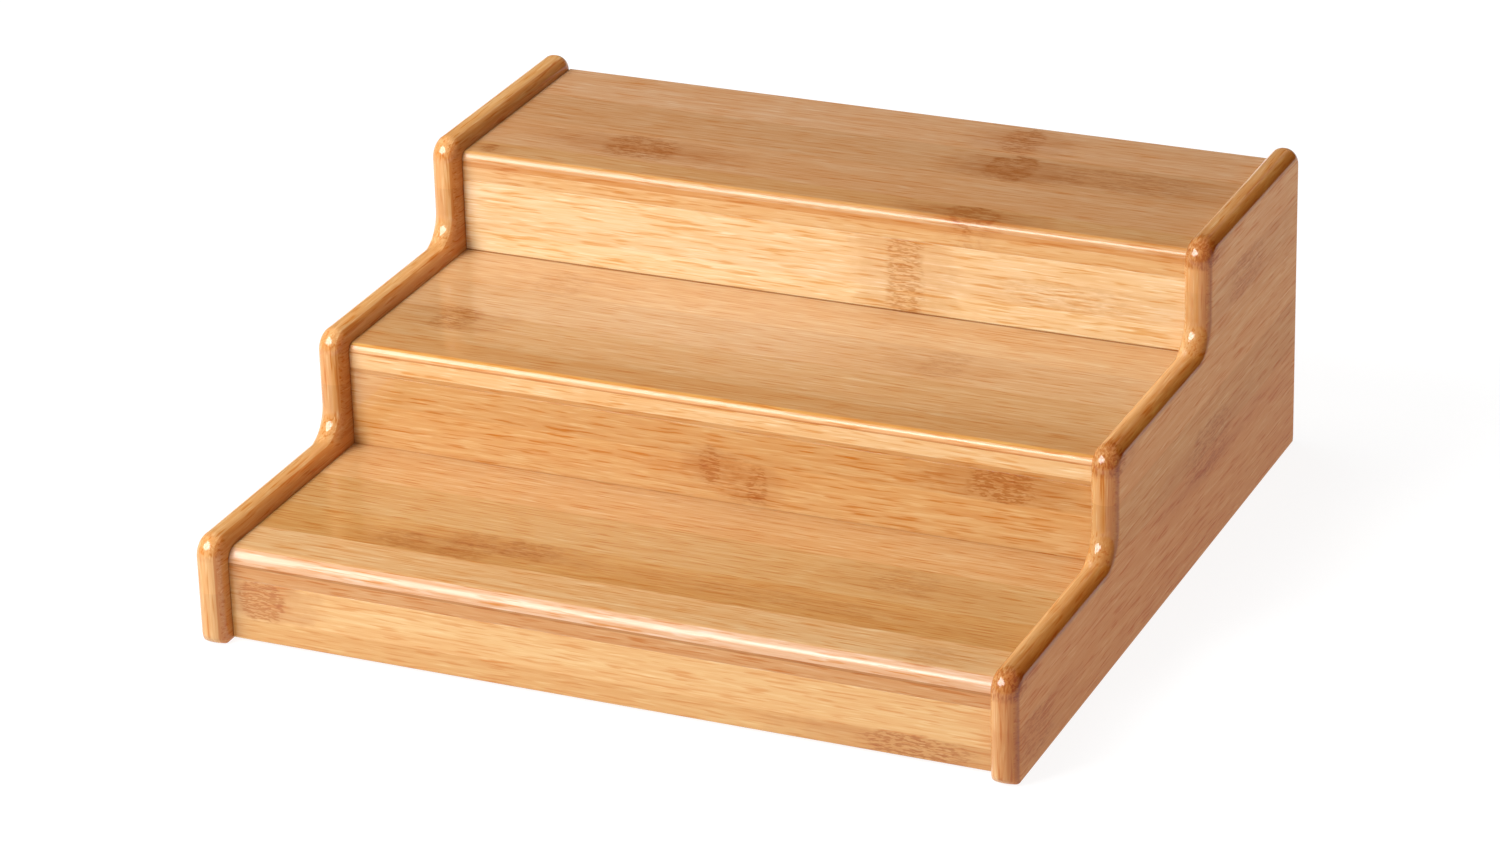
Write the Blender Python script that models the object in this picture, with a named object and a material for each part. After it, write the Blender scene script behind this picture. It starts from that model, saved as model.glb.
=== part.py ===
"""Three-tier bamboo shelf riser: stepped side panels, shelf boards and risers, joined by blind dowels.

Frame: +X to the right, +Y to the back, +Z up, origin at the centre of the footprint on the table.
Everything is in metres.
"""
import math

import bmesh
import bpy

# Overall size.
WIDTH = 0.315
DEPTH = 0.306
STEP_RISE = 0.040
STEP_RUN = 0.099
FIRST_STEP_TOP = 0.042
TIERS = ("lower", "middle", "upper")
HEIGHT = FIRST_STEP_TOP + STEP_RISE * (len(TIERS) - 1)

# Side panels.
PANEL_THICKNESS = 0.0108
EDGE_RADIUS = 0.0052
FOOT_RADIUS = 0.0016
NOSE_RADIUS = 0.0085
HOLLOW_RADIUS = 0.0105
REAR_TOP_RADIUS = 0.0070
BOTTOM_CORNER_RADIUS = 0.0042
LEAST_CORNER_RADIUS = 0.0006

# Boards between the panels.
BOARD_THICKNESS = 0.0110
RISER_THICKNESS = 0.0100
LIP_ABOVE_BOARD = 0.0060
LIP_BEFORE_RISER = 0.0071
BOARD_NOSE_RADII = (0.0056, 0.0034, 0.0034)
BOARD_ARRIS = 0.0006
SEAM_ARRIS = 0.0003
REAR_ARRIS = 0.0018
REAR_SETBACK = 0.0020
GROUND_CLEARANCE = 0.0012

# Blind dowels in the board ends.
DOWEL_RADIUS = 0.0030
DOWEL_CHAMFER = 0.0007
DEPTH_IN_PANEL = 0.0070
DEPTH_IN_BOARD = 0.0200
BOARD_DOWEL_INSET = 0.022
RISER_DOWEL_SPACING = 0.012
DOWEL_SIDES = 16

# Space left between neighbouring pieces, so that each one stays a solid of its own.
GAP = 0.0003

# Segments along the curves.
CORNER_STEPS = 7
EDGE_STEPS = 6
ARRIS_STEPS = 2
REAR_ARRIS_STEPS = 3

# Faces that meet at less than this angle are shaded as one surface.
SMOOTH_BELOW_DEGREES = 35

# How far a cutter reaches out of the wood at the mouth of a bore.
CUTTER_OVERSHOOT = 0.005

HALF_WIDTH = WIDTH / 2
FRONT = -DEPTH / 2
REAR = DEPTH / 2
INNER_FACE = HALF_WIDTH - PANEL_THICKNESS
SIDES = (("left", -1), ("right", 1))


def clear_scene():
    for old in list(bpy.data.objects):
        bpy.data.objects.remove(old, do_unlink=True)


def bamboo(name, colour, roughness):
    material = bpy.data.materials.new(name)
    material.use_nodes = True
    shader = material.node_tree.nodes["Principled BSDF"]
    shader.inputs["Base Color"].default_value = (*colour, 1.0)
    shader.inputs["Roughness"].default_value = roughness
    shader.inputs["Metallic"].default_value = 0.0
    return material


def step_front(tier):
    """Y of the panels' front edge at a tier."""
    return FRONT + STEP_RUN * tier


def step_top(tier):
    """Z of the panels' top edge at a tier."""
    return FIRST_STEP_TOP + STEP_RISE * tier


def board_top(tier):
    return step_top(tier) - LIP_ABOVE_BOARD


def riser_front(tier):
    return step_front(tier) + LIP_BEFORE_RISER


def arc(centre, radii, start, end, steps=CORNER_STEPS):
    """Points of an elliptical arc in the YZ plane, angles in degrees from +Y towards +Z."""
    points = []
    for i in range(steps + 1):
        angle = math.radians(start + (end - start) * i / steps)
        points.append((centre[0] + radii[0] * math.cos(angle), centre[1] + radii[1] * math.sin(angle)))
    return points


def panel_outline(inset, foot_inset):
    """Stepped profile of a side panel, drawn inwards by inset, and by foot_inset along its underside."""
    points = []
    across = max(BOTTOM_CORNER_RADIUS - inset, LEAST_CORNER_RADIUS)
    upright = max(BOTTOM_CORNER_RADIUS - foot_inset, LEAST_CORNER_RADIUS)
    corner_height = foot_inset + upright
    points += arc((REAR - inset - across, corner_height), (across, upright), 360, 270)
    points += arc((FRONT + inset + across, corner_height), (across, upright), 270, 180)
    for tier in range(len(TIERS)):
        nose = NOSE_RADIUS - inset
        centre = (step_front(tier) + NOSE_RADIUS, step_top(tier) - NOSE_RADIUS)
        points += arc(centre, (nose, nose), 180, 90)
        if tier + 1 < len(TIERS):
            hollow = HOLLOW_RADIUS + inset
            centre = (step_front(tier + 1) - HOLLOW_RADIUS, step_top(tier) + HOLLOW_RADIUS)
            points += arc(centre, (hollow, hollow), 270, 360)
    top = REAR_TOP_RADIUS - inset
    points += arc((REAR - REAR_TOP_RADIUS, HEIGHT - REAR_TOP_RADIUS), (top, top), 90, 0)
    return points


def rounding(depth, radius):
    """How far a rounded edge has fallen back at a depth below the face that it runs out into."""
    if depth >= radius:
        return 0.0
    return radius - math.sqrt(radius ** 2 - (radius - depth) ** 2)


def new_object(name, mesh_builder, material):
    """Makes the object name from the bmesh returned by mesh_builder."""
    shape = mesh_builder()
    bmesh.ops.recalc_face_normals(shape, faces=shape.faces)
    mesh = bpy.data.meshes.new(name)
    shape.to_mesh(mesh)
    shape.free()
    mesh.materials.append(material)
    mesh.shade_smooth()
    mesh.set_sharp_from_angle(angle=math.radians(SMOOTH_BELOW_DEGREES))
    made = bpy.data.objects.new(name, mesh)
    bpy.context.scene.collection.objects.link(made)
    return made


def loft(loops):
    """A closed solid through loops of the same number of points, capped at both ends."""
    shape = bmesh.new()
    rings = [[shape.verts.new(point) for point in loop] for loop in loops]
    for ring, following in zip(rings, rings[1:]):
        for i in range(len(ring)):
            j = (i + 1) % len(ring)
            shape.faces.new((ring[i], ring[j], following[j], following[i]))
    shape.faces.new(list(reversed(rings[0])))
    shape.faces.new(rings[-1])
    return shape


def panel_shape():
    """Side panel about x = 0, with full round edges and a flat underside."""
    half = PANEL_THICKNESS / 2
    offsets = []
    for i in range(EDGE_STEPS + 1):
        angle = math.pi / 2 * i / EDGE_STEPS
        offsets.append(half - EDGE_RADIUS + EDGE_RADIUS * math.cos(angle))
    stations = [-x for x in offsets] + list(reversed(offsets))
    loops = []
    for x in stations:
        depth = half - abs(x)
        outline = panel_outline(rounding(depth, EDGE_RADIUS), rounding(depth, FOOT_RADIUS))
        loops.append([(x, y, z) for y, z in outline])
    return loft(loops)


def board_shape(front, rear, bottom, top, front_top_radius, rear_top_radius):
    """Board along X between the panels, about its own middle in X, with eased long edges."""
    half_length = INNER_FACE - GAP
    corners = (
        (front + BOARD_ARRIS, bottom + BOARD_ARRIS, BOARD_ARRIS, 270, 180, ARRIS_STEPS),
        (front + front_top_radius, top - front_top_radius, front_top_radius, 180, 90, CORNER_STEPS),
        (rear - rear_top_radius, top - rear_top_radius, rear_top_radius, 90, 0, REAR_ARRIS_STEPS),
        (rear - BOARD_ARRIS, bottom + BOARD_ARRIS, BOARD_ARRIS, 360, 270, ARRIS_STEPS),
    )
    outline = []
    for y, z, radius, start, end, steps in corners:
        outline += arc((y, z), (radius, radius), start, end, steps)
    return loft([[(x, y, z) for y, z in outline] for x in (-half_length, half_length)])


def rod_loops(start, end, y, z, radius, chamfer):
    """Rings of a rod along X, with chamfered ends unless chamfer is 0."""
    sections = [(start, radius), (end, radius)]
    if chamfer:
        tip = radius - chamfer
        sections = [(start, tip), (start + chamfer, radius), (end - chamfer, radius), (end, tip)]
    loops = []
    for x, r in sections:
        angles = [2 * math.pi * i / DOWEL_SIDES for i in range(DOWEL_SIDES)]
        loops.append([(x, y + r * math.cos(a), z + r * math.sin(a)) for a in angles])
    return loops


def drill(target, spots, start, end):
    """Bores blind holes along X into target, at each (y, z) in spots, from x = start to x = end."""
    shape = bmesh.new()
    for y, z in spots:
        rod = loft(rod_loops(min(start, end), max(start, end), y, z, DOWEL_RADIUS + GAP, 0))
        bmesh.ops.recalc_face_normals(rod, faces=rod.faces)
        mesh = bpy.data.meshes.new("bore")
        rod.to_mesh(mesh)
        rod.free()
        shape.from_mesh(mesh)
        bpy.data.meshes.remove(mesh)
    mesh = bpy.data.meshes.new(target.name + "_bores")
    shape.to_mesh(mesh)
    shape.free()
    cutter = bpy.data.objects.new(mesh.name, mesh)
    cutter.hide_render = True
    cutter.display_type = "WIRE"
    bpy.context.scene.collection.objects.link(cutter)
    cut = target.modifiers.new("bores", "BOOLEAN")
    cut.operation = "DIFFERENCE"
    cut.solver = "EXACT"
    cut.object = cutter


def board_dowel_spots(front, rear, bottom, top):
    """Two dowels across the depth of a shelf board, at the middle of its thickness."""
    middle = (bottom + top) / 2
    return {"front": (front + BOARD_DOWEL_INSET, middle), "rear": (rear - BOARD_DOWEL_INSET, middle)}


def riser_dowel_spots(front, rear, bottom, top):
    """Two dowels one above the other, at the middle of a riser's thickness."""
    middle = (front + rear) / 2
    height = (bottom + top) / 2
    return {
        "low": (middle, height - RISER_DOWEL_SPACING / 2),
        "high": (middle, height + RISER_DOWEL_SPACING / 2),
    }


def shelf_board(tier, material):
    """Shelf board of a tier. It lies flush on its own riser and runs back to the next one's face."""
    front = riser_front(tier)
    rear = REAR - REAR_SETBACK
    rear_radius = REAR_ARRIS
    if tier + 1 < len(TIERS):
        rear = riser_front(tier + 1) - GAP
        rear_radius = SEAM_ARRIS
    top = board_top(tier)
    bottom = top - BOARD_THICKNESS
    name = "shelf_board_" + TIERS[tier]
    build = lambda: board_shape(front, rear, bottom, top, BOARD_NOSE_RADII[tier], rear_radius)
    return new_object(name, build, material), board_dowel_spots(front, rear, bottom, top)


def riser_board(tier, material):
    """Upright board that closes a tier's front, from under its shelf board down behind the one below."""
    front = riser_front(tier)
    rear = front + RISER_THICKNESS
    top = board_top(tier) - BOARD_THICKNESS - GAP
    bottom = board_top(tier - 1) - BOARD_THICKNESS if tier else GROUND_CLEARANCE
    name = "riser_" + TIERS[tier]
    build = lambda: board_shape(front, rear, bottom, top, BOARD_ARRIS, BOARD_ARRIS)
    return new_object(name, build, material), riser_dowel_spots(front, rear, bottom, top)


def dowel(name, side, spot, material):
    """One dowel, across the joint between a board's end and the panel on that side."""
    ends = (side * (INNER_FACE + DEPTH_IN_PANEL), side * (INNER_FACE - GAP - DEPTH_IN_BOARD))
    build = lambda: loft(rod_loops(min(ends), max(ends), 0.0, 0.0, DOWEL_RADIUS, DOWEL_CHAMFER))
    made = new_object(name, build, material)
    made.location = (0.0, *spot)
    return made


def side_panel(label, side, spots, material):
    """Stepped side panel, drilled on its inner face for every dowel."""
    made = new_object("side_panel_" + label, panel_shape, material)
    made.location = (side * (HALF_WIDTH - PANEL_THICKNESS / 2), 0.0, 0.0)
    mouth = side * (INNER_FACE - CUTTER_OVERSHOOT)
    drill(made, spots, mouth, side * (INNER_FACE + DEPTH_IN_PANEL + GAP))
    return made


def main():
    clear_scene()
    panel_bamboo = bamboo("bamboo_panel", (0.50, 0.25, 0.10), 0.30)
    shelf_bamboo = bamboo("bamboo_shelf", (0.62, 0.34, 0.15), 0.32)
    riser_bamboo = bamboo("bamboo_riser", (0.72, 0.42, 0.19), 0.32)
    dowel_wood = bamboo("dowel_birch", (0.66, 0.49, 0.30), 0.60)

    boards = []
    for tier in range(len(TIERS)):
        boards.append(shelf_board(tier, shelf_bamboo))
        boards.append(riser_board(tier, riser_bamboo))

    mouth_of_bore = INNER_FACE - GAP + CUTTER_OVERSHOOT
    bottom_of_bore = INNER_FACE - GAP - DEPTH_IN_BOARD - GAP
    all_spots = []
    for board, spots in boards:
        all_spots += spots.values()
        for label, side in SIDES:
            drill(board, spots.values(), side * bottom_of_bore, side * mouth_of_bore)
            for place, spot in spots.items():
                dowel(f"dowel_{board.name}_{label}_{place}", side, spot, dowel_wood)

    for label, side in SIDES:
        side_panel(label, side, all_spots, panel_bamboo)


main()
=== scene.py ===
"""Looks of the three-tier bamboo shelf riser: finer boards and panels, lacquered bamboo, studio.

Everything is in metres: +X to the right, +Y to the back, +Z up.
"""
import math

import bmesh
import bpy
from mathutils import Matrix, Vector


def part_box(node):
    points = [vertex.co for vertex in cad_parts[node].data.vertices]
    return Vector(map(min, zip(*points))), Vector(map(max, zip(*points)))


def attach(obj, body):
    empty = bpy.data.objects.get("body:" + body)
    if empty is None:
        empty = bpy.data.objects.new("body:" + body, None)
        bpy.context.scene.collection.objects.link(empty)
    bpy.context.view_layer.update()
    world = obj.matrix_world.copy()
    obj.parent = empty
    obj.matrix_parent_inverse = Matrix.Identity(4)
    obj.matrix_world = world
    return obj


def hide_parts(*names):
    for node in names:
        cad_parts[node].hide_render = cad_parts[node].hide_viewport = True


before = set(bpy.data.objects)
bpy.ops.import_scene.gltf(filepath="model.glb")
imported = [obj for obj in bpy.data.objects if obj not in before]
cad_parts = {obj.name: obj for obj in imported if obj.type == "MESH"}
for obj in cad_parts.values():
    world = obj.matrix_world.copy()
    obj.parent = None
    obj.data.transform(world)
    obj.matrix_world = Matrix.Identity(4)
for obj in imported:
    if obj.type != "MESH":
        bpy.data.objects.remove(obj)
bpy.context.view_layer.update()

BODY = "root"
TIERS = ("lower", "middle", "upper")
SIDES = (("left", -1), ("right", 1))

# Profile of the side panels, as in the CAD.
EDGE_RADIUS = 0.0052
FOOT_RADIUS = 0.0016
NOSE_RADIUS = 0.0085
HOLLOW_RADIUS = 0.0105
REAR_TOP_RADIUS = 0.0070
BOTTOM_CORNER_RADIUS = 0.0042
LEAST_CORNER_RADIUS = 0.0006
LIP_ABOVE_BOARD = 0.0060
LIP_BEFORE_RISER = 0.0071

# Edges of the boards.
BOARD_NOSE_RADII = {"lower": 0.0056, "middle": 0.0034, "upper": 0.0034}
REAR_TOP_ARRISES = {"lower": 0.0003, "middle": 0.0005, "upper": 0.0018}
BOARD_ARRIS = 0.0006
FLUSH_ARRIS = 0.00012
END_ARRIS = 0.0002
LEAST_ARRIS = 0.00006

# Gaps between a shelf and the riser below it, and between a board's ends or back and what they meet.
FLUSH_GAP = 0.00003
END_GAP = 0.00008

# Segments along the curves.
CORNER_STEPS = 20
EDGE_STEPS = 14
ARRIS_STEPS = 3
REAR_TOP_STEPS = 6

# How strongly large faces lead the shading of the corners that they share, from 1 to 100.
LARGE_FACE_WEIGHT = 100


def arc(centre, radii, start, end, steps=CORNER_STEPS):
    """Points of an elliptical arc in the YZ plane, angles in degrees from +Y towards +Z."""
    points = []
    for i in range(steps + 1):
        angle = math.radians(start + (end - start) * i / steps)
        points.append((centre[0] + radii[0] * math.cos(angle), centre[1] + radii[1] * math.sin(angle)))
    return points


def rounding(depth, radius):
    """How far a rounded edge has fallen back at a depth below the face that it runs out into."""
    if depth >= radius:
        return 0.0
    return radius - math.sqrt(radius ** 2 - (radius - depth) ** 2)


def loft(loops):
    """A closed solid through loops of the same number of points, capped at both ends."""
    shape = bmesh.new()
    rings = [[shape.verts.new(point) for point in loop] for loop in loops]
    for ring, following in zip(rings, rings[1:]):
        for i in range(len(ring)):
            j = (i + 1) % len(ring)
            shape.faces.new((ring[i], ring[j], following[j], following[i]))
    shape.faces.new(list(reversed(rings[0])))
    shape.faces.new(rings[-1])
    bmesh.ops.recalc_face_normals(shape, faces=shape.faces)
    return shape


def mesh_object(name, shape, material):
    """Puts an object with the shape as its mesh in the scene."""
    mesh = bpy.data.meshes.new(name)
    shape.to_mesh(mesh)
    shape.free()
    mesh.materials.append(material)
    made = bpy.data.objects.new(name, mesh)
    bpy.context.scene.collection.objects.link(made)
    return made


def add_piece(name, shape, material, node):
    """Makes a piece that stands for a CAD node and rides on the body."""
    piece = mesh_object(name, shape, material)
    piece.data.shade_smooth()
    weighted = piece.modifiers.new("weighted_normals", "WEIGHTED_NORMAL")
    weighted.weight = LARGE_FACE_WEIGHT
    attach(piece, BODY)
    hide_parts(node)


def step_edges():
    """Front and top of each step of the panels, from the boards that they hold."""
    fronts = []
    tops = []
    for tier in TIERS:
        fronts.append(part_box("riser_" + tier)[0].y - LIP_BEFORE_RISER)
        tops.append(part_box("shelf_board_" + tier)[1].z + LIP_ABOVE_BOARD)
    return fronts, tops


def panel_outline(low, high, inset, foot_inset):
    """Stepped profile of a side panel, drawn inwards by inset, and by foot_inset along its underside."""
    fronts, tops = step_edges()
    points = []
    across = max(BOTTOM_CORNER_RADIUS - inset, LEAST_CORNER_RADIUS)
    upright = max(BOTTOM_CORNER_RADIUS - foot_inset, LEAST_CORNER_RADIUS)
    corner_height = low.z + foot_inset + upright
    points += arc((high.y - inset - across, corner_height), (across, upright), 360, 270)
    points += arc((low.y + inset + across, corner_height), (across, upright), 270, 180)
    for step, (front, top) in enumerate(zip(fronts, tops)):
        nose = NOSE_RADIUS - inset
        points += arc((front + NOSE_RADIUS, top - NOSE_RADIUS), (nose, nose), 180, 90)
        if step + 1 < len(fronts):
            hollow = HOLLOW_RADIUS + inset
            centre = (fronts[step + 1] - HOLLOW_RADIUS, top + HOLLOW_RADIUS)
            points += arc(centre, (hollow, hollow), 270, 360)
    end = REAR_TOP_RADIUS - inset
    points += arc((high.y - REAR_TOP_RADIUS, high.z - REAR_TOP_RADIUS), (end, end), 90, 0)
    return points


def panel_shape(node):
    """A side panel with full round edges, in its CAD node's place."""
    low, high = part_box(node)
    half = (high.x - low.x) / 2
    middle = (high.x + low.x) / 2
    offsets = []
    for i in range(EDGE_STEPS + 1):
        angle = math.pi / 2 * i / EDGE_STEPS
        offsets.append(half - EDGE_RADIUS + EDGE_RADIUS * math.cos(angle))
    loops = []
    for offset in [-offset for offset in offsets] + offsets[::-1]:
        depth = half - abs(offset)
        outline = panel_outline(low, high, rounding(depth, EDGE_RADIUS), rounding(depth, FOOT_RADIUS))
        loops.append([(middle + offset, y, z) for y, z in outline])
    return loft(loops)


def board_shape(low, high, front_top_radius, rear_top_radius, front_foot_radius):
    """A board along X that fills a box, with eased long edges and slightly eased ends."""
    corners = (
        ((low.y, low.z), (1, 1), front_foot_radius, 270, 180, ARRIS_STEPS),
        ((low.y, high.z), (1, -1), front_top_radius, 180, 90, CORNER_STEPS),
        ((high.y, high.z), (-1, -1), rear_top_radius, 90, 0, REAR_TOP_STEPS),
        ((high.y, low.z), (-1, 1), BOARD_ARRIS, 360, 270, ARRIS_STEPS),
    )
    sections = (
        (low.x, END_ARRIS),
        (low.x + END_ARRIS, 0.0),
        (high.x - END_ARRIS, 0.0),
        (high.x, END_ARRIS),
    )
    loops = []
    for x, inset in sections:
        outline = []
        for (y, z), (inwards, upwards), radius, start, end, steps in corners:
            centre = (y + inwards * radius, z + upwards * radius)
            drawn = max(radius - inset, LEAST_ARRIS)
            outline += arc(centre, (drawn, drawn), start, end, steps)
        loops.append([(x, y, z) for y, z in outline])
    return loft(loops)


# Added to a noise's shift along its three directions, so that they don't start alike.
NOISE_TURNS = (0.0, 3.7, 7.9)
# Length of the last band on a ramp, past which its colour goes on.
RAMP_MARGIN = 0.002
# Height of the relief that a bump stands for.
BUMP_DEPTH = 0.0001


class Graph:
    """Short calls for building the node tree of one material."""

    def __init__(self, name):
        self.material = bpy.data.materials.new(name)
        self.material.use_nodes = True
        self.tree = self.material.node_tree
        self.shader = self.tree.nodes["Principled BSDF"]

    def node(self, kind, inputs=(), **settings):
        made = self.tree.nodes.new(kind)
        for key, value in settings.items():
            setattr(made, key, value)
        for key, value in dict(inputs).items():
            self.feed(made.inputs[key], value)
        return made

    def feed(self, socket, value):
        """Links a node's output to the socket, or sets a plain value on it."""
        if isinstance(value, bpy.types.NodeSocket):
            self.tree.links.new(value, socket)
        else:
            socket.default_value = value

    def place(self, axes):
        """The surface's coordinates along three named axes, in that order."""
        where = self.node("ShaderNodeTexCoord").outputs["Object"]
        split = self.node("ShaderNodeSeparateXYZ", {0: where})
        return tuple(split.outputs[axis] for axis in axes)

    def maths(self, operation, *values):
        return self.node("ShaderNodeMath", enumerate(values), operation=operation).outputs[0]

    def add(self, first, *others):
        total = first
        for other in others:
            total = self.maths("ADD", total, other)
        return total

    def less(self, a, b):
        return self.maths("SUBTRACT", a, b)

    def mul(self, first, *others):
        product = first
        for other in others:
            product = self.maths("MULTIPLY", product, other)
        return product

    def centred(self, value):
        """A noise brought from 0..1 to -0.5..0.5."""
        return self.less(value, 0.5)

    def ramp(self, value, low, high, shape="LINEAR"):
        """value taken from low..high to 0..1, and kept there."""
        inputs = {"Value": value, "From Min": low, "From Max": high}
        return self.node("ShaderNodeMapRange", inputs, interpolation_type=shape).outputs[0]

    def smooth(self, value, low, high):
        return self.ramp(value, low, high, "SMOOTHSTEP")

    def mix(self, amount, a, b, blend="MIX"):
        made = self.node("ShaderNodeMix", data_type="RGBA", blend_type=blend)
        for index, value in ((0, amount), (6, a), (7, b)):
            if isinstance(value, tuple):
                value = (*value, 1.0)
            self.feed(made.inputs[index], value)
        return made.outputs[2]

    def noise(self, place, pattern, seed=0.0):
        """Noise from 0 to 1. pattern is (cells per metre on each axis, shift, detail, roughness)."""
        per_metre, shift, detail, roughness = pattern
        parts = [
            self.maths("MULTIPLY_ADD", axis, cells, seed + shift + turn)
            for axis, cells, turn in zip(place, per_metre, NOISE_TURNS)
        ]
        vector = self.node("ShaderNodeCombineXYZ", enumerate(parts)).outputs[0]
        inputs = {"Vector": vector, "Scale": 1.0, "Detail": detail, "Roughness": roughness}
        return self.node("ShaderNodeTexNoise", inputs).outputs["Fac"]

    def bands(self, value, stops, blend="CONSTANT"):
        """Colour from one boundary to the next. stops lists (where it starts, colour)."""
        start = stops[0][0]
        span = stops[-1][0] - start + RAMP_MARGIN
        ramp = self.node("ShaderNodeValToRGB", {0: self.ramp(value, start, start + span)})
        ramp.color_ramp.interpolation = blend
        elements = ramp.color_ramp.elements
        while len(elements) < len(stops):
            elements.new(1.0)
        for element, (boundary, colour) in zip(elements, stops):
            element.position = (boundary - start) / span
            element.color = (*colour, 1.0)
        return ramp.outputs[0]

    def bump(self, height, strength):
        inputs = {"Strength": strength, "Distance": BUMP_DEPTH, "Height": height}
        return self.node("ShaderNodeBump", inputs).outputs[0]


# Axes along the grain, across the strips and through them.
BOARD_AXES = ("X", "Y", "Z")
RISER_AXES = ("X", "Z", "Y")
PANEL_AXES = ("Y", "Z", "X")

# Noise patterns: cells per metre along the grain, across and through, shift, detail and roughness.
SWIRL = ((110, 170, 170), 5.1, 1.0, 0.5)
DRIFT = ((7, 25, 25), 2.2, 1.0, 0.5)
WANDER = ((150, 170, 170), 9.3, 3.0, 0.5)
STREAKS = ((5, 120, 120), 0.3, 3.0, 0.6)
FIBRES = ((26, 640, 640), 1.7, 3.0, 0.6)
FINE_FIBRES = ((80, 2100, 2100), 3.1, 2.0, 0.55)
DASHES = ((70, 1100, 1100), 4.4, 1.0, 0.5)
GLINTS = ((75, 1050, 1050), 7.4, 1.0, 0.5)
FLECKS = ((270, 1250, 1250), 6.6, 2.0, 0.6)
RIPPLE = ((28, 130, 130), 8.8, 1.0, 0.5)
DOWEL_GRAIN = ((60, 1600, 1600), 3.0, 3.0, 0.5)

# Values of the noise between which dashes, glints and flecks come in.
DASH_RANGE = (0.54, 0.70)
GLINT_RANGE = (0.56, 0.74)
FLECK_RANGE = (0.43, 0.60)

# How far fibres curl in a knuckle, and drift everywhere.
CURL = 0.0024
DRIFT_REACH = 0.0022

# How much each one darkens the bamboo. A negative one makes it paler.
STREAK_SHADE = 0.52
FIBRE_SHADE = 0.80
FINE_FIBRE_SHADE = 0.40
DASH_SHADE = 0.42
GLINT_SHADE = -0.24

# Tints that multiply a strip's colour.
DARK_FIBRE = (0.80, 0.45, 0.05)
PALE_FIBRE = (1.22, 1.70, 2.50)
KNUCKLE_BROWN = (0.66, 0.44, 0.25)

# A knuckle's outline: how square it is, how ragged, and from where to where its core and stain come in.
KNUCKLE_SQUARENESS = 4.0
KNUCKLE_RAGGEDNESS = 1.3
CORE_FADE = (1.1, 0.3)
STAIN_FADE = (1.1, 0.1)
# How fast a stain fades along the grain, against its core.
STAIN_FALL = 0.12
# Brown of a knuckle: in its stain, all over its core and in the core's flecks.
STAIN_BROWN = 0.90
CORE_BROWN = 0.10
FLECK_BROWN = 0.85

# How squarely a surface faces along the grain to count as an end.
END_FACING = 0.72

# Lacquer and the bamboo under it. A roughness is the values of the grain that would give 0 and 1.
LACQUER_IOR = 1.50
LACQUER_GLOSS = 0.08
BARE_SPECULAR = 0.12
BAMBOO_ROUGHNESS = (-0.6, 2.2)
GRAIN_BUMP = 0.20
FILM_BUMP = 0.22
FINE_FIBRE_HEIGHT = 0.5
FLECK_HEIGHT = 0.8


def knuckle_masks(graph, place, knuckles, seed):
    """Sum of the knuckles' cores, and of the longer stains that run out of them along the grain."""
    along, across, _ = place
    wander = graph.mul(graph.centred(graph.noise(place, WANDER, seed)), KNUCKLE_RAGGEDNESS)
    cores = 0.0
    stains = 0.0
    for centre_along, centre_across, half_along, half_across, strength in knuckles:
        off_along = graph.maths("DIVIDE", graph.less(along, centre_along), half_along)
        off_across = graph.maths("DIVIDE", graph.less(across, centre_across), half_across)
        beside = graph.maths("POWER", graph.maths("ABSOLUTE", off_across), KNUCKLE_SQUARENESS)
        beside = graph.add(beside, wander)
        squared = graph.mul(off_along, off_along)
        core = graph.smooth(graph.add(squared, beside), *CORE_FADE)
        stain = graph.smooth(graph.add(graph.mul(squared, STAIN_FALL), beside), *STAIN_FADE)
        cores = graph.add(graph.mul(core, strength), cores)
        stains = graph.add(graph.mul(stain, strength), stains)
    return cores, stains


def turned_at_ends(graph, place, axis):
    """The place with its first two directions swapped where the surface faces along the axis."""
    along, across, through = place
    normal = graph.node("ShaderNodeNewGeometry").outputs["Normal"]
    facing = graph.node("ShaderNodeSeparateXYZ", {0: normal}).outputs[axis]
    swapped = graph.maths("GREATER_THAN", graph.maths("ABSOLUTE", facing), END_FACING)
    change = graph.mul(graph.less(across, along), swapped)
    return graph.add(along, change), graph.less(across, change), through


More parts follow.
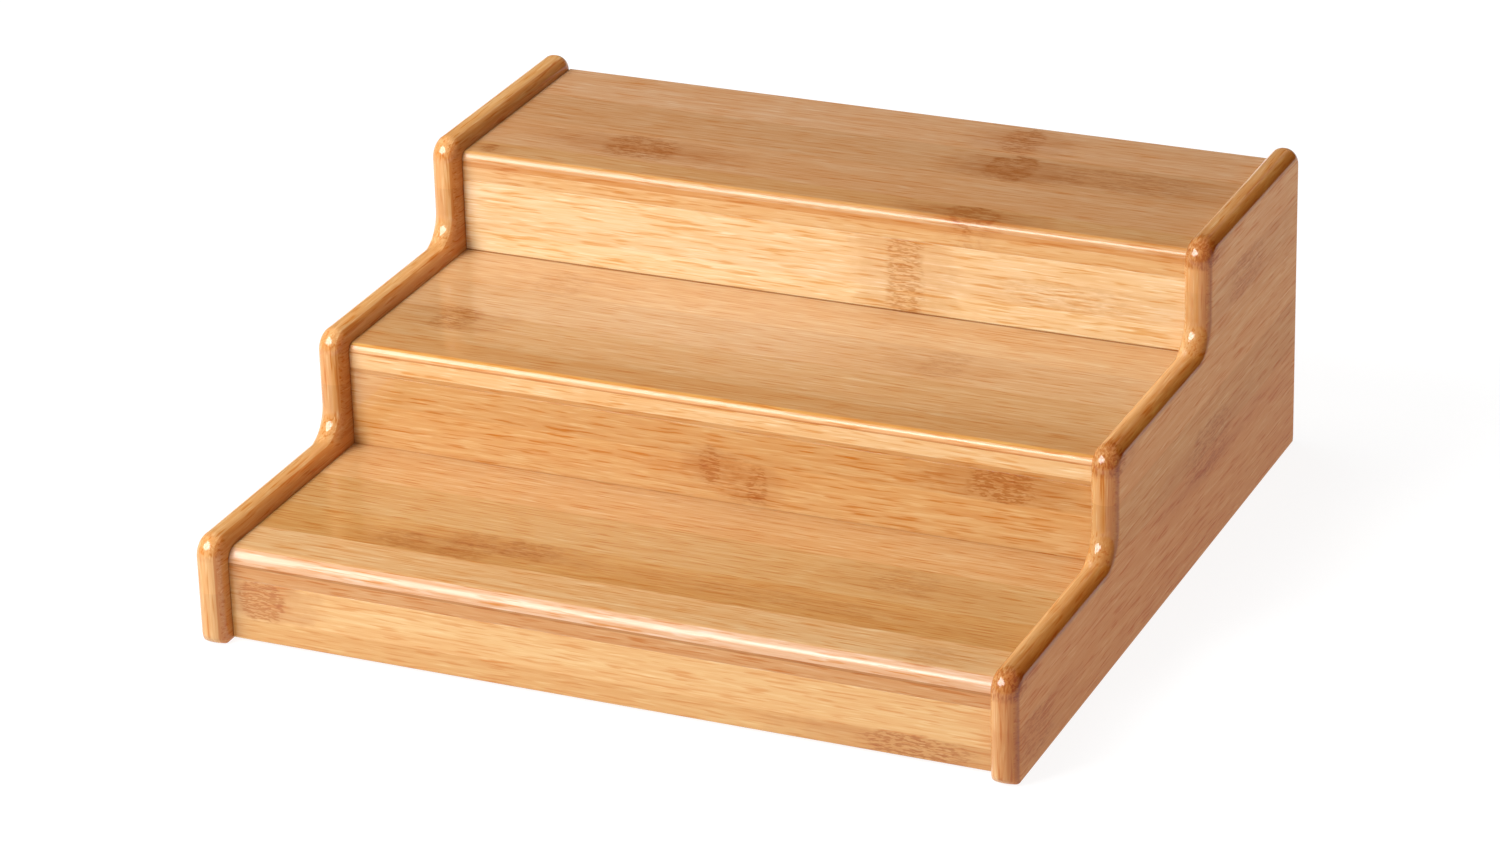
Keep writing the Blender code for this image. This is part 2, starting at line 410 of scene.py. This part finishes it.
def bamboo(
    name, axes, strips, knuckles, seed, layers_and_painted_light=None, layer_blend="CONSTANT",
    contrast=1.0, gloss=LACQUER_GLOSS, coat=1.0, bare=BARE_SPECULAR, turn_ends=False,
):
    """Lacquered bamboo. axes names the directions along the grain, across the strips and through them.

    strips and layers_and_painted_light list (where it starts, colour) across and through; a layer's
    colour multiplies the strips' colour. Both hold the wood's tone and, on some pieces, painted light
    and shade. knuckles lists (along, across, half length, half width, strength). coat is the lacquer's
    weight, as one number or as (where it starts, weight as a grey) through the strips.
    """
    graph = Graph(name)
    place = graph.place(axes)
    _, across, through = place
    cores, stains = knuckle_masks(graph, place, knuckles, seed)

    if turn_ends:
        place = turned_at_ends(graph, place, axes[0])
    grain_along, grain_across, _ = place

    # The fibres drift a little, and curl where a knuckle crosses them.
    swirl = graph.centred(graph.noise(place, SWIRL, seed))
    drift = graph.centred(graph.noise(place, DRIFT, seed))
    bent = graph.add(grain_across, graph.mul(swirl, cores, CURL), graph.mul(drift, DRIFT_REACH))
    fibre_place = (grain_along, bent, through)

    streaks = graph.noise(fibre_place, STREAKS, seed)
    fibres = graph.noise(fibre_place, FIBRES, seed)
    fine_fibres = graph.noise(fibre_place, FINE_FIBRES, seed)
    dashes = graph.smooth(graph.noise(fibre_place, DASHES, seed), *DASH_RANGE)
    glints = graph.smooth(graph.noise(fibre_place, GLINTS, seed), *GLINT_RANGE)
    flecks = graph.smooth(graph.noise(fibre_place, FLECKS, seed), *FLECK_RANGE)

    shade = graph.add(
        graph.mul(graph.centred(streaks), STREAK_SHADE * contrast),
        graph.mul(graph.centred(fibres), FIBRE_SHADE * contrast),
        graph.mul(graph.centred(fine_fibres), FINE_FIBRE_SHADE * contrast),
        graph.mul(dashes, DASH_SHADE * contrast),
        graph.mul(glints, GLINT_SHADE * contrast),
    )
    # Colours of the strips and layers, which on some pieces carry painted light and shade.
    base = graph.bands(across, strips)
    if layers_and_painted_light:
        base = graph.mix(1.0, base, graph.bands(through, layers_and_painted_light, layer_blend), "MULTIPLY")
    darker = graph.maths("MAXIMUM", shade, 0.0)
    paler = graph.maths("MAXIMUM", graph.mul(shade, -1.0), 0.0)
    colour = graph.mix(darker, base, DARK_FIBRE, "MULTIPLY")
    colour = graph.mix(paler, colour, PALE_FIBRE, "MULTIPLY")
    brown = graph.add(
        graph.mul(stains, streaks, STAIN_BROWN),
        graph.mul(cores, CORE_BROWN),
        graph.mul(cores, flecks, FLECK_BROWN),
    )
    colour = graph.mix(graph.maths("MINIMUM", brown, 1.0), colour, KNUCKLE_BROWN, "MULTIPLY")

    sockets = graph.shader.inputs
    graph.feed(sockets["Base Color"], colour)
    graph.feed(sockets["Roughness"], graph.ramp(fibres, *BAMBOO_ROUGHNESS))
    sockets["Specular IOR Level"].default_value = bare
    if isinstance(coat, float):
        sockets["Coat Weight"].default_value = coat
    else:
        graph.feed(sockets["Coat Weight"], graph.bands(through, coat, "LINEAR"))
    sockets["Coat Roughness"].default_value = gloss
    sockets["Coat IOR"].default_value = LACQUER_IOR
    height = graph.add(
        fibres,
        graph.mul(fine_fibres, FINE_FIBRE_HEIGHT),
        graph.mul(cores, flecks, FLECK_HEIGHT),
    )
    graph.feed(sockets["Normal"], graph.bump(height, GRAIN_BUMP))
    ripple = graph.noise(fibre_place, RIPPLE, seed)
    graph.feed(sockets["Coat Normal"], graph.bump(ripple, FILM_BUMP))
    return graph.material


def stacked(start, sizes_and_colours):
    """Boundaries of strips laid side by side from start."""
    stops = []
    for size, colour in sizes_and_colours:
        stops.append((start, colour))
        start += size
    return stops


# A tint that changes nothing, and full weight for a coat.
PLAIN = (1.0, 1.0, 1.0)

# Strips of the shelves from the nose backwards: width and colour.
SHELF_STRIPS = {
    "lower": (
        (0.0225, (0.568, 0.310, 0.125)), (0.0210, (0.468, 0.222, 0.063)),
        (0.0275, (0.480, 0.250, 0.085)), (0.0275, (0.532, 0.286, 0.112))),
    "middle": (
        (0.0150, (0.490, 0.240, 0.084)), (0.0275, (0.500, 0.270, 0.109)),
        (0.0275, (0.530, 0.298, 0.134)), (0.0300, (0.564, 0.324, 0.147))),
    "upper": (
        (0.0140, (0.515, 0.264, 0.102)), (0.0275, (0.525, 0.269, 0.117)),
        (0.0275, (0.508, 0.264, 0.116)), (0.0300, (0.560, 0.302, 0.146))),
}
# Layers of a shelf board from its upper face down, seen on its front edge: thickness and tint. Most are
# its laminations, but on the noses some are painted highlight and painted shade.
SHELF_LAYERS_AND_NOSE_LIGHT = {
    "lower": (
        # The pale layer on the lower nose is a painted highlight, wider than the one the lacquer gives.
        (0.0004, PLAIN), (0.0046, (1.10, 1.15, 1.60)),
        (0.0010, (0.72, 0.55, 0.42)), (0.0060, (0.93, 0.80, 0.70))),
    "middle": (
        # The thin orange layer just under the top is painted shade: a deeper orange where the rounding
        # mirrors less light.
        (0.00015, PLAIN), (0.0006, (1.14, 1.04, 0.60)), (0.0020, (1.40, 1.50, 1.80)),
        (0.0007, (1.12, 0.98, 0.85)), (0.0057, (1.55, 1.95, 2.55)), (0.0030, (1.16, 1.16, 1.12))),
    "upper": (
        # The thin orange layer just under the top is painted shade: a deeper orange where the rounding
        # mirrors less light.
        (0.00015, PLAIN), (0.0005, (1.08, 1.01, 0.75)), (0.0027, (1.18, 1.24, 1.40)),
        (0.0022, (1.14, 1.02, 0.84)), (0.0070, (1.32, 1.47, 1.58))),
}
# Knuckles of the shelves: along, back from the nose, half length, half width, strength.
SHELF_KNUCKLES = {
    "lower": (
        (-0.090, 0.0300, 0.0120, 0.0070, 0.45), (-0.066, 0.0335, 0.0130, 0.0120, 0.45),
        (-0.044, 0.0370, 0.0120, 0.0080, 0.50), (0.091, 0.0600, 0.0140, 0.0120, 0.35),
        (0.120, 0.0100, 0.0080, 0.0080, 0.30), (0.060, 0.0330, 0.0400, 0.0060, 0.25)),
    "middle": (
        (-0.120, 0.0360, 0.0100, 0.0120, 0.60), (-0.096, 0.0790, 0.0120, 0.0120, 0.30),
        (0.068, 0.0580, 0.0100, 0.0130, 0.35)),
    "upper": (
        (-0.083, 0.0275, 0.0170, 0.0120, 0.75), (0.058, 0.0550, 0.0110, 0.0138, 0.80),
        (0.052, 0.0830, 0.0090, 0.0140, 0.70), (0.061, 0.0070, 0.0120, 0.0075, 0.90),
        (-0.139, 0.0080, 0.0040, 0.0040, 0.70), (0.105, 0.0560, 0.0300, 0.0110, 0.40)),
}
SHELF_CONTRAST = {"lower": 1.45, "middle": 1.30, "upper": 1.25}
SHELF_GLOSS = {"lower": 0.15, "middle": 0.10, "upper": 0.10}
SHELF_COAT = 0.55
SHELF_SEED = 11.0

# Strips of the risers from the bottom upwards: height and colour. On the middle and upper risers the
# thin dark strip is painted shade in the seam where the shelf below meets the riser.
RISER_STRIPS_AND_SEAM_SHADE = {
    "lower": ((0.0085, (0.600, 0.300, 0.092)), (0.030, (0.660, 0.360, 0.130))),
    "middle": (
        # The thin dark strip is painted shade in the seam at the shelf below.
        (0.0106, (0.665, 0.350, 0.128)), (0.0006, (0.560, 0.255, 0.080)),
        (0.0168, (0.662, 0.358, 0.130)), (0.030, (0.618, 0.325, 0.115))),
    "upper": (
        # The thin dark strip is painted shade in the seam at the shelf below.
        (0.0106, (0.850, 0.600, 0.328)), (0.0007, (0.420, 0.190, 0.065)),
        (0.0086, (0.840, 0.596, 0.318)), (0.030, (0.805, 0.545, 0.284))),
}
# Knuckles of the risers: along, height above the board's lower edge, half length, half width, strength.
RISER_KNUCKLES = {
    "lower": ((-0.134, 0.0170, 0.0095, 0.0090, 1.00), (0.118, 0.0030, 0.0220, 0.0065, 0.80)),
    "middle": (
        (-0.001, 0.0250, 0.0045, 0.0085, 0.55), (0.0175, 0.0195, 0.0045, 0.0085, 0.55),
        (0.0080, 0.0220, 0.0140, 0.0105, 0.25), (0.112, 0.0345, 0.0140, 0.0070, 0.90)),
    "upper": (
        (0.036, 0.0250, 0.0085, 0.0400, 0.62),
        (0.100, 0.0260, 0.0300, 0.0060, 0.22)),
}
RISER_CONTRAST = {"lower": 1.25, "middle": 1.60, "upper": 1.30}
RISER_SEED = 53.0
# From one tier's seed to the next.
TIER_SEED_STEP = 13.0


def shelf_material(tier, seed):
    """Bamboo in flat strips, with laminations that show on the front edge and a painted highlight and
    painted shade on the nose.
    """
    low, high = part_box("shelf_board_" + tier)
    knuckles = [(x, low.y + y, *rest) for x, y, *rest in SHELF_KNUCKLES[tier]]
    layers_and_painted_light = []
    top = high.z
    for thickness, tint in SHELF_LAYERS_AND_NOSE_LIGHT[tier]:
        top -= thickness
        layers_and_painted_light.insert(0, (top, tint))
    return bamboo(
        "bamboo_shelf_" + tier, BOARD_AXES, stacked(low.y, SHELF_STRIPS[tier]), knuckles, seed,
        layers_and_painted_light=layers_and_painted_light, contrast=SHELF_CONTRAST[tier], gloss=SHELF_GLOSS[tier], coat=SHELF_COAT)


def riser_material(tier, seed):
    """Bamboo in strips that lie one above the other, with a thin strip of painted seam shade on the
    middle and upper risers.
    """
    low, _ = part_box("riser_" + tier)
    knuckles = [(x, low.z + z, *rest) for x, z, *rest in RISER_KNUCKLES[tier]]
    return bamboo(
        "bamboo_riser_" + tier, RISER_AXES, stacked(low.z, RISER_STRIPS_AND_SEAM_SHADE[tier]), knuckles, seed,
        contrast=RISER_CONTRAST[tier])


# Strips of the panels from the bottom upwards: their height, and what tints the wood in each. The right
# panel's strips grow paler and greyer towards the top, a painted reflection of the bright floor that its
# upper part mirrors.
PANEL_STRIP_HEIGHT = 0.0205
PANEL_STRIPS_AND_PAINTED_SHEEN = {
    "left": (
        (0.98, 0.98, 0.98), (1.04, 1.04, 1.04), (0.94, 0.94, 0.94), (1.02, 1.02, 1.02),
        (0.97, 0.97, 0.97), (1.05, 1.05, 1.05)),
    "right": (
        # Paler and greyer towards the top: painted reflection of the floor.
        (0.98, 1.00, 0.94), (0.99, 1.04, 1.04), (0.97, 1.10, 1.16), (1.07, 1.25, 1.42),
        (1.06, 1.27, 1.50), (1.09, 1.28, 1.52)),
}
PANEL_WOOD = {"left": (0.630, 0.310, 0.105), "right": (0.560, 0.205, 0.058)}
# Tints of a panel across its thickness, partly its plies and partly painted light and shade: its inner
# side, which faces the boards, its outer side where the joint and fade end, and the outer side just
# under the outer face. On the left panel the darker inner side is painted shade, away from the key lamp
# and towards the boards. On the right panel the pale inner side is painted light from the key lamp over
# the inner ply's tan. Its darker outer side and rim are painted shade over the outer ply's brown, and
# the wide fade between them is the fall of light across the rounded edge. The start and end of the joint
# and fade are measured outwards from the panel's middle.
PANEL_INNER_TONE_AND_PAINTED_LIGHT = {"left": (0.82, 0.60, 0.40), "right": (1.06, 1.34, 1.60)}
PANEL_OUTER_TONE_AND_SHADE = {"left": PLAIN, "right": (0.80, 0.62, 0.27)}
PANEL_RIM_TONE_AND_SHADE = {"left": PLAIN, "right": (0.60, 0.40, 0.15)}
PANEL_JOINT_AND_FADE = {"left": (-0.0031, -0.0029), "right": (-0.0032, 0.0040)}
# Depths below a flat face: where its tint and lacquer start to change, and where its tint is reached.
FACE_SKIN = 0.0004
FACE_FILM = 0.00005
# Weight of the lacquer on the flat faces. It is full on the rounded edges.
PANEL_FILM = {"left": (0.60, 0.60, 0.60), "right": (0.30, 0.30, 0.30)}
PANEL_BARE_SPECULAR = 0.0
PANEL_CONTRAST = 1.50
# Knuckles of the panels: along, height, half length, half width, strength.
PANEL_KNUCKLES = {
    "left": ((0.060, 0.0300, 0.0200, 0.0100, 0.50), (-0.060, 0.0200, 0.0180, 0.0090, 0.50)),
    "right": (
        (-0.133, 0.0130, 0.0180, 0.0100, 0.50), (0.047, 0.0420, 0.0260, 0.0120, 0.50),
        (0.089, 0.0960, 0.0220, 0.0090, 0.45)),
}
# Darker wood round each nose: how far in from its corner, then half length, half width, strength.
NOSE_STAIN_INSET = 0.0030
NOSE_STAIN = {"left": (0.0060, 0.0060, 0.25), "right": (0.0085, 0.0075, 0.85)}
PANEL_SEEDS = {"left": 91.0, "right": 103.0}


def panel_material(side, outwards):
    """Brown bamboo, glued from two plies whose joint shows along the rounded edges, with painted light
    and shade across those edges: lighter on the side towards the key lamp, darker on the side away from
    it.
    """
    low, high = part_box("side_panel_" + side)
    wood = Vector(PANEL_WOOD[side])
    # On the right panel these hold a painted reflection that grows towards the top.
    tones_and_sheen = [tuple(wood * Vector(tint)) for tint in PANEL_STRIPS_AND_PAINTED_SHEEN[side]]
    strips = stacked(low.z, [(PANEL_STRIP_HEIGHT, colour) for colour in tones_and_sheen])
    middle = (low.x + high.x) / 2
    face = (high.x - low.x) / 2
    joint_and_fade_start, joint_and_fade_end = PANEL_JOINT_AND_FADE[side]
    # Painted light and shade across the rounded edges, laid over the plies' tones.
    tints_and_painted_light = (
        (-face, PANEL_INNER_TONE_AND_PAINTED_LIGHT[side]), (joint_and_fade_start, PANEL_INNER_TONE_AND_PAINTED_LIGHT[side]),
        (joint_and_fade_end, PANEL_OUTER_TONE_AND_SHADE[side]), (face - FACE_SKIN, PANEL_RIM_TONE_AND_SHADE[side]),
        (face - FACE_FILM, PLAIN))
    layers_and_painted_light = sorted((middle + outwards * past, tint) for past, tint in tints_and_painted_light)
    film = PANEL_FILM[side]
    weights = ((-face, film), (-face + FACE_SKIN, PLAIN), (face - FACE_SKIN, PLAIN), (face, film))
    coat = sorted((middle + outwards * past, weight) for past, weight in weights)
    knuckles = list(PANEL_KNUCKLES[side])
    for front, top in zip(*step_edges()):
        knuckles.append((front + NOSE_STAIN_INSET, top - NOSE_STAIN_INSET, *NOSE_STAIN[side]))
    return bamboo(
        "bamboo_panel_" + side, PANEL_AXES, strips, knuckles, PANEL_SEEDS[side],
        layers_and_painted_light=layers_and_painted_light, layer_blend="LINEAR", contrast=PANEL_CONTRAST, coat=coat,
        bare=PANEL_BARE_SPECULAR, turn_ends=True)


def between_panels(node):
    """A board's box, drawn out to just short of both panels."""
    low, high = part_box(node)
    low.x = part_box("side_panel_left")[1].x + END_GAP
    high.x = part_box("side_panel_right")[0].x - END_GAP
    return low, high


def build_shelf(step, tier):
    """A shelf, drawn back to just short of the riser behind it. Returns the height of its underside."""
    node = "shelf_board_" + tier
    low, high = between_panels(node)
    if tier != TIERS[-1]:
        high.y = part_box("riser_" + TIERS[step + 1])[0].y - END_GAP
    shape = board_shape(low, high, BOARD_NOSE_RADII[tier], REAR_TOP_ARRISES[tier], FLUSH_ARRIS)
    material = shelf_material(tier, SHELF_SEED + TIER_SEED_STEP * step)
    add_piece("shelf_" + tier, shape, material, node)
    return low.z


def build_riser(step, tier, shelf_underside):
    """A riser, drawn up to just short of the shelf that lies on it."""
    node = "riser_" + tier
    low, high = between_panels(node)
    high.z = shelf_underside - FLUSH_GAP
    shape = board_shape(low, high, FLUSH_ARRIS, BOARD_ARRIS, BOARD_ARRIS)
    material = riser_material(tier, RISER_SEED + TIER_SEED_STEP * step)
    add_piece("riser_board_" + tier, shape, material, node)


def build_pieces():
    for step, tier in enumerate(TIERS):
        shelf_underside = build_shelf(step, tier)
        build_riser(step, tier, shelf_underside)
    for side, outwards in SIDES:
        node = "side_panel_" + side
        add_piece("panel_" + side, panel_shape(node), panel_material(side, outwards), node)


# Dowels: their colours, the values of the grain between which one turns into the other, and the rest
# as for the bamboo.
DOWEL_DARK = (0.52, 0.36, 0.20)
DOWEL_PALE = (0.76, 0.59, 0.38)
DOWEL_RANGE = (0.3, 0.7)
DOWEL_ROUGHNESS = (-1.2, 1.4)
DOWEL_BUMP = 0.3


def dowel_material():
    """Pale turned wood with fine lengthwise grain."""
    graph = Graph("turned_dowel")
    grain = graph.noise(graph.place(BOARD_AXES), DOWEL_GRAIN)
    colour = graph.mix(graph.ramp(grain, *DOWEL_RANGE), DOWEL_DARK, DOWEL_PALE)
    sockets = graph.shader.inputs
    graph.feed(sockets["Base Color"], colour)
    graph.feed(sockets["Roughness"], graph.ramp(grain, *DOWEL_ROUGHNESS))
    graph.feed(sockets["Normal"], graph.bump(grain, DOWEL_BUMP))
    return graph.material


def finish_dowels():
    """The dowels stay as the CAD has them and only get their material."""
    material = dowel_material()
    for name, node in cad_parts.items():
        if name.startswith("dowel_"):
            for slot in node.material_slots:
                slot.material = material


# Floor and wall.
FLOOR_SIZE = 24.0
FLOOR_DROP = 0.0002
FLOOR_GREY = 0.20
FLOOR_GLOW = 0.88
WALL_RADIUS = 11.5
WALL_HEIGHT = 9.0
WALL_SEGMENTS = 96
WALL_GLOW = 0.95

# Lamps: direction from the object, distance, size, power, whether it lights, whether it is mirrored.
SOFTBOXES = {
    "key_softbox": ((-0.50, -0.58, 0.66), 1.5, 0.85, 27.0, True, True),
    "strip_softbox": ((-0.19, -0.74, 0.66), 1.5, 0.40, 5.0, False, True),
    "right_softbox": ((0.95, -0.25, 0.16), 1.7, 0.30, 1.6, True, False),
    "overhead": ((-0.30, 0.12, 0.95), 1.9, 1.2, 11.0, True, False),
}

# Black cards behind the object, which its treads mirror: direction from the object.
BLACK_FLAGS = {
    "black_flag_right": (0.60, 0.80, 0.38),
    "black_flag_left": (-0.42, 0.83, 0.45),
}
FLAG_SIZE = 1.7
FLAG_DISTANCE = 1.8
CLOTH_GREY = 0.015

# What floor, wall and cards share.
MATT_ROUGHNESS = 0.9
MATT_SPECULAR = 0.1
WHITE = (1.0, 1.0, 1.0, 1.0)

WORLD_COLOUR = (1.0, 0.99, 0.97, 1.0)
WORLD_STRENGTH = 0.36

# Camera, in degrees, metres and millimetres.
CAMERA_AZIMUTH = 24.06
CAMERA_ELEVATION = 24.19
CAMERA_ROLL = -1.61
CAMERA_DISTANCE = 1.913
CAMERA_TARGET = (-0.0027, -0.0063, 0.0496)
CAMERA_LENS = 124.45
CAMERA_SENSOR = 36.0
CAMERA_REACH = 100.0


def matt(name, grey, glow=0.0):
    graph = Graph(name)
    sockets = graph.shader.inputs
    sockets["Base Color"].default_value = (grey, grey, grey, 1.0)
    sockets["Roughness"].default_value = MATT_ROUGHNESS
    sockets["Specular IOR Level"].default_value = MATT_SPECULAR
    sockets["Emission Color"].default_value = WHITE
    sockets["Emission Strength"].default_value = glow
    return graph.material


def flat_square(name, size, material):
    shape = bmesh.new()
    bmesh.ops.create_grid(shape, x_segments=1, y_segments=1, size=size / 2)
    made = mesh_object(name, shape, material)
    return made


def white_wall():
    """A round white wall behind everything, which neither lights the object nor shows in it."""
    shape = bmesh.new()
    bmesh.ops.create_cone(
        shape, segments=WALL_SEGMENTS, radius1=WALL_RADIUS, radius2=WALL_RADIUS, depth=WALL_HEIGHT)
    wall = mesh_object("white_wall", shape, matt("white_paint", 0.0, WALL_GLOW))
    wall.location.z = WALL_HEIGHT / 2 - FLOOR_DROP
    wall.visible_diffuse = False
    wall.visible_glossy = False
    wall.visible_shadow = False


def face_middle(made, direction, distance):
    """Puts a lamp or card in a direction from the object's middle, turned towards it."""
    outwards = Vector(direction).normalized()
    made.location = Vector(CAMERA_TARGET) + outwards * distance
    made.rotation_euler = outwards.to_track_quat("Z", "Y").to_euler()
    made.visible_camera = False


def softbox(name, direction, distance, size, power, lights, mirrored):
    light = bpy.data.lights.new(name, "AREA")
    light.shape = "SQUARE"
    light.size = size
    light.energy = power
    lamp = bpy.data.objects.new(name, light)
    bpy.context.scene.collection.objects.link(lamp)
    lamp.visible_diffuse = lights
    lamp.visible_glossy = mirrored
    face_middle(lamp, direction, distance)


def make_studio():
    floor = flat_square("floor", FLOOR_SIZE, matt("floor_paper", FLOOR_GREY, FLOOR_GLOW))
    floor.location.z = -FLOOR_DROP
    white_wall()
    for name, settings in SOFTBOXES.items():
        softbox(name, *settings)
    cloth = matt("black_cloth", CLOTH_GREY)
    for name, direction in BLACK_FLAGS.items():
        flag = flat_square(name, FLAG_SIZE, cloth)
        face_middle(flag, direction, FLAG_DISTANCE)
    world = bpy.data.worlds.new("studio")
    world.use_nodes = True
    backdrop = world.node_tree.nodes["Background"]
    backdrop.inputs["Color"].default_value = WORLD_COLOUR
    backdrop.inputs["Strength"].default_value = WORLD_STRENGTH
    bpy.context.scene.world = world


def make_camera():
    azimuth = math.radians(CAMERA_AZIMUTH)
    elevation = math.radians(CAMERA_ELEVATION)
    back = Vector((
        math.sin(azimuth) * math.cos(elevation),
        -math.cos(azimuth) * math.cos(elevation),
        math.sin(elevation),
    ))
    data = bpy.data.cameras.new("camera")
    data.sensor_width = CAMERA_SENSOR
    data.lens = CAMERA_LENS
    data.clip_end = CAMERA_REACH
    camera = bpy.data.objects.new("camera", data)
    turn = back.to_track_quat("Z", "Y").to_matrix() @ Matrix.Rotation(math.radians(CAMERA_ROLL), 3, "Z")
    place = Matrix.Translation(Vector(CAMERA_TARGET) + back * CAMERA_DISTANCE)
    camera.matrix_world = place @ turn.to_4x4()
    bpy.context.scene.collection.objects.link(camera)
    bpy.context.scene.camera = camera


build_pieces()
finish_dowels()
make_studio()
make_camera()
bpy.context.scene.view_settings.view_transform = "Standard"
